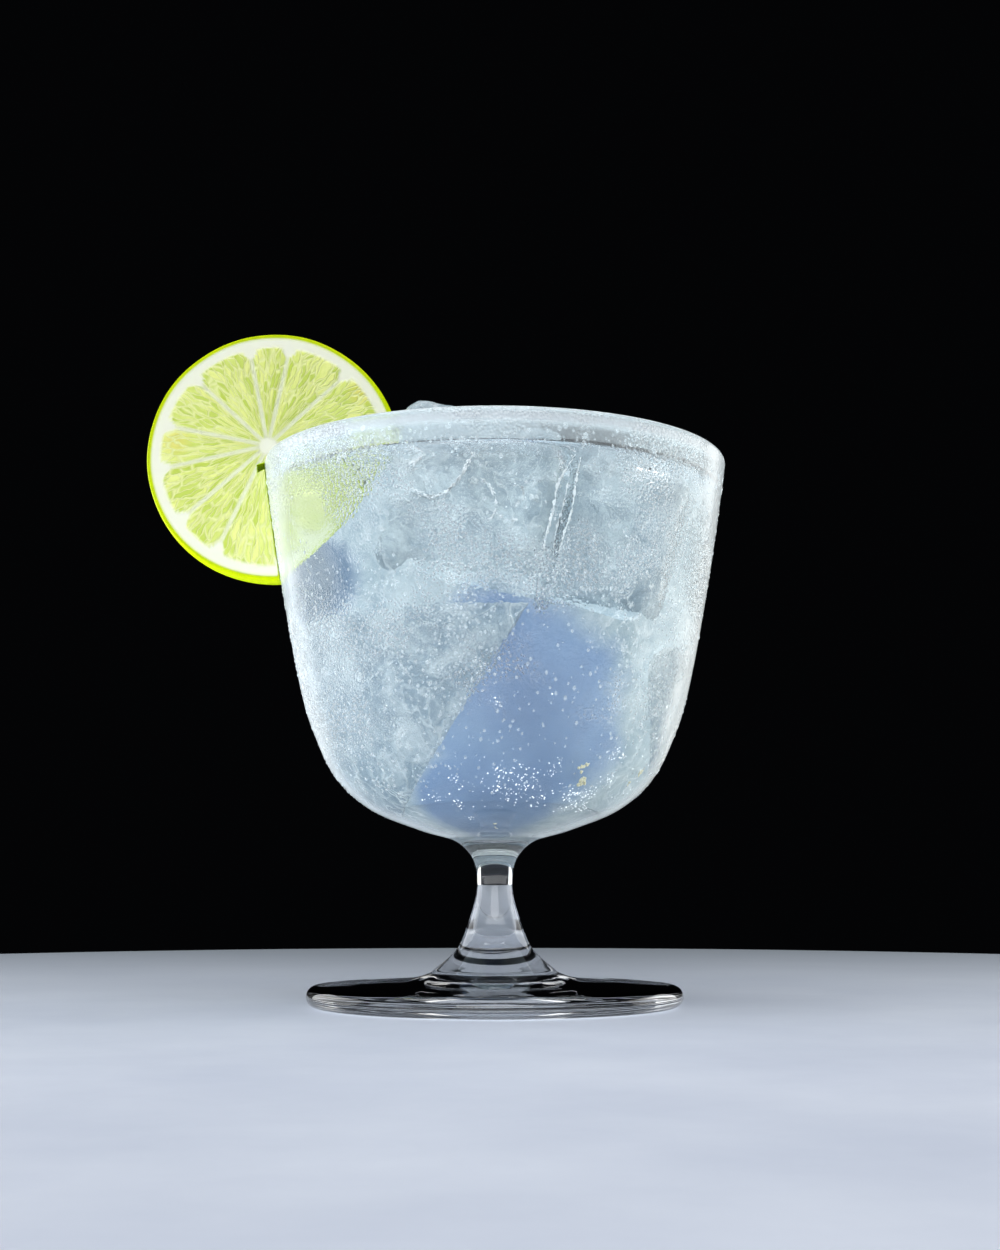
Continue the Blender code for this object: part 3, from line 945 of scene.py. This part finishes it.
# The lime wheel: a slice from the middle of a lime, a thin green rind, white pith and twelve
# segments of pulp, slit from its middle and pushed down over the rim, its inner half in the drink.
lime_thickness = 0.0060
lime_hub = Vector((-0.0010, 0.0, 0.0021))
rind, pith, core = 0.0010, 0.0018, 0.0016
membrane_angles = (17, 49, 82, 103, 135, 164, 187, 216, 241, 276, 311, 343)
pulp_edge = lime_radius - rind - pith


def finish_lime():
    made, add = new_material("cut_lime")
    unrolled = add("UVMap").outputs["UV"]
    zones = add("Attribute", attribute_name="zones")
    zone = add("SeparateColor", {"Color": zones.outputs["Color"]})
    wall, white, green = (zone.outputs[k] for k in ("Red", "Green", "Blue"))
    place = add("TexCoord").outputs["Object"]
    bend = add("TexNoise", {"Vector": place, "Scale": 260.0, "Detail": 2.0})
    offset = vector(add, "SUBTRACT", bend.outputs["Color"], (0.5, 0.5, 0.5))
    curl = vector(add, "MULTIPLY", offset, (0.020, 0.16, 0.0))
    curled = vector(add, "ADD", unrolled, curl)
    stretch = vector(add, "MULTIPLY", curled, (125.0, 6.0, 1.0))
    sacs = add("TexVoronoi", {"Vector": stretch, "Scale": 1.0},
               feature="DISTANCE_TO_EDGE")
    each = add("TexVoronoi", {"Vector": stretch, "Scale": 1.0}).outputs["Color"]
    tone = add("SeparateColor", {"Color": each}).outputs["Red"]
    fine = vector(add, "MULTIPLY", curled, (210.0, 9.0, 1.0))
    grain = add("TexNoise", {"Vector": fine, "Scale": 1.0, "Detail": 4.0})
    sac = spread(add, sacs.outputs["Distance"], 0.01, 0.15)
    mixed = calc(add, "MULTIPLY", grain.outputs["Fac"], tone)
    share = spread(add, mixed, 0.05, 0.45)
    body = blend(add, share, colour(203, 223, 88), colour(246, 254, 150))
    # Two spots are riper, and yellow.
    for spot in ((-0.0624, 0.0, 0.1084), (-0.0263, 0.0, 0.1184)):
        away = vector(add, "SUBTRACT", place, spot)
        flat = vector(add, "MULTIPLY", away, (1.0, 0.0, 1.0))
        length = add("VectorMath", {0: flat}, operation="LENGTH").outputs["Value"]
        ripe = spread(add, length, 0.0008, 0.0034, 0.6, 0.0)
        body = blend(add, ripe, body, colour(236, 222, 100))
    flesh = blend(add, sac, colour(246, 253, 172), body)
    walled = blend(add, wall, flesh, colour(250, 255, 214))
    pithy = blend(add, white, walled, colour(253, 255, 230))
    peel = add("TexNoise", {"Vector": place, "Scale": 900.0})
    skin = blend(add, peel.outputs["Fac"], colour(186, 214, 0), colour(222, 240, 10))
    whole = blend(add, green, pithy, skin)
    # The half that stands in the drink is painted darker, as painted shade.
    apart = add("SeparateXYZ", {"Vector": place})
    inward = spread(add, apart.outputs["X"], -0.0425, -0.0405)
    below = spread(add, apart.outputs["Z"], 0.0975, 0.0985, 0.55, 0.0)
    painted_shade_in_drink = calc(add, "MULTIPLY", inward, below)
    outer = blend(add, painted_shade_in_drink, whole, colour(148, 168, 40))
    flat_pith = calc(add, "SUBTRACT", 1.0, white)
    swell = calc(add, "MULTIPLY", sac, flat_pith)
    bump = add("Bump", {"Height": swell, "Strength": 0.45, "Distance": 0.0004})
    deep = spread(add, green, 0.0, 1.0, 0.12, 0.0)
    gloss = spread(add, green, 0.0, 1.0, 0.3, 0.04)
    lime = add(
        "BsdfPrincipled",
        {"Base Color": outer, "Roughness": 0.34, "Normal": bump.outputs["Normal"],
         "Specular IOR Level": gloss,
         "Subsurface Weight": deep,
         "Subsurface Scale": 0.0007, "Subsurface Radius": (1.0, 1.0, 0.3)},
    )
    add("OutputMaterial", {"Surface": lime.outputs["BSDF"]})
    return made


def smoothstep(low, high, value):
    share = min(1.0, max(0.0, (value - low) / (high - low)))
    return share * share * (3 - 2 * share)


def turn_faces_out(piece):
    """Makes every face of a closed piece look outward."""
    shape = bmesh.new()
    shape.from_mesh(piece.data)
    bmesh.ops.recalc_face_normals(shape, faces=shape.faces)
    shape.to_mesh(piece.data)
    shape.free()


def lime_columns():
    """The angle of each column of points, its share of the segment, and the segment's number."""
    marks = [*membrane_angles, membrane_angles[0] + 360]
    shares = (0.0, 0.02, 0.045, 0.08, 0.13, 0.2, 0.28, 0.36, 0.44, 0.5, 0.56, 0.64, 0.72, 0.8,
              0.87, 0.92, 0.955, 0.98)
    return [
        (math.radians(low + (high - low) * s), s, high - low, n)
        for n, (low, high) in enumerate(zip(marks, marks[1:]))
        for s in shares
    ]


def lime_mesh():
    columns = lime_columns()
    count = len(columns)
    half = lime_thickness / 2
    inner = [core * k / 3 for k in (1, 2, 3)]
    pulp = [core + (pulp_edge - core) * (k / 34) for k in range(1, 35)]
    peel_round = 0.0005
    outer = [pulp_edge + (lime_radius - peel_round - pulp_edge) * k / 6 for k in range(1, 7)]
    radii = inner + pulp + outer
    points, zones, polar = [], [], []

    def add_ring(radius, side, depth=None):
        start = len(points)
        for angle, share, width, number in columns:
            near = min(share, 1 - share) * math.radians(width) * radius
            # Each segment is rounded at its outer corners.
            corner = 0.0024 * (1 - smoothstep(0.0, 0.0028, near)) ** 2
            edge = pulp_edge - corner
            inside = smoothstep(core * 0.9, core * 1.5, radius) * (
                1 - smoothstep(edge - 0.0004, edge + 0.0001, radius))
            wall = 1 - smoothstep(0.0002, 0.0006, near)
            swell = smoothstep(0.0001, 0.0012, near) * inside
            seeded = Vector((math.cos(angle) * 40, math.sin(angle) * 40, radius * 220 + side * 9))
            rough = noise.noise(seeded) * 0.5 + noise.noise(seeded * 2.3) * 0.3
            rise = 0.00024 * swell + 0.00010 * rough * swell
            off = lime_hub * max(0.0, 1 - radius / pulp_edge)
            wave = 1 + 0.006 * noise.noise(Vector((math.cos(angle) * 2, math.sin(angle) * 2, 3)))
            reach = radius * (wave if radius > pulp_edge else 1.0)
            across = side * (half + rise) if depth is None else depth
            point = Vector((reach * math.cos(angle), across, reach * math.sin(angle))) + off
            points.append(point + lime_centre)
            peel = smoothstep(lime_radius - rind * 1.4, lime_radius - rind * 0.9, radius)
            zones.append((wall * inside, 1 - inside, peel))
            polar.append((angle / (2 * math.pi) + number, radius / pulp_edge + side * 3))
        return list(range(start, start + count))

    def centre(side):
        points.append(lime_centre + lime_hub + Vector((0, side * half, 0)))
        zones.append((0.0, 1.0, 0.0))
        polar.append((0.0, side * 3))
        return len(points) - 1

    front_middle, back_middle = centre(-1), centre(1)
    front = [add_ring(r, -1) for r in radii]
    back = [add_ring(r, 1) for r in radii]
    edge = [add_ring(lime_radius - peel_round + peel_round * math.cos(t), -1, half * math.sin(t))
            for t in [math.radians(d) for d in (-72, -50, -25, 0, 25, 50, 72)]]
    around = [*front, *edge, *back[::-1]]
    faces = []
    for i in range(count):
        j = (i + 1) % count
        faces.append((front_middle, front[0][i], front[0][j]))
        faces.append((back_middle, back[0][j], back[0][i]))
        for low, high in zip(around, around[1:]):
            faces.append((low[i], high[i], high[j], low[j]))
    lime = mesh_piece("lime_slice", points, faces, finish_lime())
    layer = lime.data.color_attributes.new("zones", "FLOAT_COLOR", "POINT")
    for i, (red, green, blue) in enumerate(zones):
        layer.data[i].color = (red, green, blue, 1.0)
    uv = lime.data.uv_layers.new(name="UVMap")
    for loop in lime.data.loops:
        uv.data[loop.index].uv = polar[loop.vertex_index]
    turn_faces_out(lime)
    return lime


def slit_cutter():
    """The goblet's wall with a gap all round, from the rim down past the wheel."""
    lowest = lime_centre.z - lime_radius - 0.003
    outside = [p for p in outside_line if p[1] > lowest]
    inside = [p for p in inside_line if p[1] > lowest]
    gap = 0.0001
    bead = arc((rim_radius - rim_bead, rim_height - rim_bead), rim_bead + gap, 70, 160, 8)
    mouth = [(rim_radius + 0.0014, rim_height - 0.0022), (rim_radius + 0.0016, rim_height - 0.0006)]
    outline = [(r + gap, z) for r, z in outside[:-1]] + mouth + bead
    outline += [(r - gap - 0.0001, z) for r, z in inside[:-1][::-1]]
    count = len(outline)
    points = [(-r, y, z) for y in (-lime_thickness, lime_thickness) for r, z in outline]
    faces = [tuple(range(count)), tuple(range(2 * count - 1, count - 1, -1))]
    faces += [(i, count + i, count + (i + 1) % count, (i + 1) % count) for i in range(count)]
    cutter = mesh_piece("slit_cutter", points, faces, bpy.data.materials["cut_lime"], False)
    turn_faces_out(cutter)
    return cutter


lime = lime_mesh()
boolean(lime, slit_cutter(), "DIFFERENCE")
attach(lime, "root")
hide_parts("lime_wheel")
